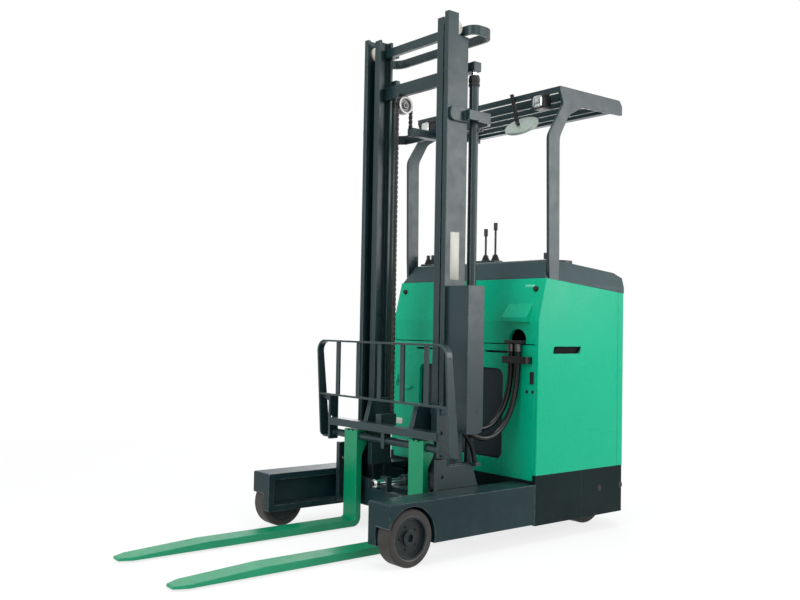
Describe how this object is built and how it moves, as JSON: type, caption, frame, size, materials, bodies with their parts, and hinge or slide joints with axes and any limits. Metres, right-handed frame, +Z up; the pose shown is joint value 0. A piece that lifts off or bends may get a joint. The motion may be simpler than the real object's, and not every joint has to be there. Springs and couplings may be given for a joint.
{
  "type": "stand-up electric reach truck",
  "caption": "Stand-up electric reach truck: two-stage mast on straddle legs, tilting forks, drive wheel, caster and overhead guard.",
  "frame": {"origin": "on the floor under the middle of the truck's bounding box", "axes": "+X ahead to the fork tips, +Y to the truck's left, +Z up"},
  "size_m": [2.63, 1.09, 2.602],
  "materials": {
    "green_paint": "gloss",
    "slate_paint": "satin",
    "dark_plastic": "satin",
    "black_plastic": "matte",
    "black_rubber": "matte",
    "black_pad": "soft",
    "battery_steel": "satin",
    "lamp_case": "matte",
    "bare_steel": "brushed",
    "chrome": "polished",
    "chain_steel": "oiled",
    "fork_paint": "satin",
    "tyre": "matte",
    "hub_paint": "satin",
    "hose_rubber": "satin",
    "mirror_shell": "satin"
  },
  "bodies": {
    "chassis": {"chassis_base": "slate_paint", "rear_base": "slate_paint", "leg_left": "slate_paint", "leg_right": "slate_paint", "battery": "battery_steel", "front_panel_lower": "green_paint", "front_panel_upper": "green_paint", "side_panel_left": "green_paint", "side_panel_right": "green_paint", "drive_housing": "green_paint", "bulkhead": "slate_paint", "floor_mat": "black_rubber", "side_pad": "black_pad", "hood": "dark_plastic", "control_levers": "black_plastic", "overhead_guard": "slate_paint", "work_lamps": "lamp_case", "reach_cylinder_barrel": "slate_paint", "mirror": "mirror_shell", "mirror_arm": "black_plastic", "hose_clamps": "black_plastic", "mast_hose_inner": "hose_rubber", "mast_hose_outer": "hose_rubber"},
    "reach_mast": {"reach_carriage": "slate_paint", "reach_rollers": "bare_steel", "reach_cylinder_rod": "chrome", "outer_mast": "slate_paint", "mast_tie": "slate_paint", "mast_side_cover": "slate_paint", "lift_barrels": "slate_paint", "chain_rear": "chain_steel", "guide_rollers": "bare_steel", "reach_hose": "hose_rubber"},
    "inner_stage": {"inner_mast": "slate_paint", "inner_mast_ties": "slate_paint", "lift_rods": "chrome", "chain_sheave": "bare_steel"},
    "lift_carriage": {"fork_carriage": "slate_paint", "load_backrest": "slate_paint", "chain_front": "chain_steel"},
    "fork_pair": {"fork_left": "fork_paint", "fork_right": "fork_paint"},
    "load_wheel_left": {"load_left_tyre": "tyre", "load_left_hub": "hub_paint"},
    "load_wheel_right": {"load_right_tyre": "tyre", "load_right_hub": "hub_paint"},
    "drive_turntable": {"drive_unit": "slate_paint"},
    "drive_wheel": {"drive_tyre": "tyre", "drive_hub": "hub_paint"},
    "caster_arm": {"caster_fork": "slate_paint"},
    "caster_pair": {"caster_wheels": "tyre"},
    "hand_wheel": {"steering_wheel": "black_plastic"}
  },
  "joints": [
    {"name": "reach", "type": "slide", "parent": "chassis", "child": "reach_mast", "axis": [1, 0, 0], "range_m": [0, 0.5]},
    {"name": "mast_lift", "type": "slide", "parent": "reach_mast", "child": "inner_stage", "axis": [0, 0, 1], "range_m": [0, 1.5], "deforming": ["chain_rear"]},
    {"name": "carriage_lift", "type": "slide", "parent": "inner_stage", "child": "lift_carriage", "axis": [0, 0, 1], "range_m": [0, 1.5], "deforming": ["chain_front"]},
    {"name": "fork_tilt", "type": "hinge", "parent": "lift_carriage", "child": "fork_pair", "pos_m": [-0.004, 0, 0.474], "axis": [0, 1, 0], "range_deg": [-5, 3]},
    {"name": "load_wheel_left_spin", "type": "hinge", "parent": "chassis", "child": "load_wheel_left", "pos_m": [0.305, 0.498, 0.127], "axis": [0, 1, 0], "continuous": true},
    {"name": "load_wheel_right_spin", "type": "hinge", "parent": "chassis", "child": "load_wheel_right", "pos_m": [0.305, -0.498, 0.127], "axis": [0, 1, 0], "continuous": true},
    {"name": "drive_steer", "type": "hinge", "parent": "chassis", "child": "drive_turntable", "pos_m": [-1.115, 0.33, 0.33], "axis": [0, 0, 1], "range_deg": [-90, 90]},
    {"name": "drive_wheel_spin", "type": "hinge", "parent": "drive_turntable", "child": "drive_wheel", "pos_m": [-1.115, 0.33, 0.165], "axis": [0, 1, 0], "continuous": true},
    {"name": "caster_swivel", "type": "hinge", "parent": "chassis", "child": "caster_arm", "pos_m": [-1.095, -0.345, 0.18], "axis": [0, 0, 1], "continuous": true},
    {"name": "caster_wheel_spin", "type": "hinge", "parent": "caster_arm", "child": "caster_pair", "pos_m": [-1.129, -0.345, 0.075], "axis": [0, 1, 0], "continuous": true},
    {"name": "steering_turn", "type": "hinge", "parent": "chassis", "child": "hand_wheel", "pos_m": [-1.06, 0.202, 1.3787], "axis": [0, 0, 1], "range_deg": [-360, 360]}
  ],
  "couplings": [
    {"joint": "carriage_lift", "follows": "mast_lift", "ratio": 1},
    {"joint": "steering_turn", "follows": "drive_steer", "ratio": -4}
  ]
}
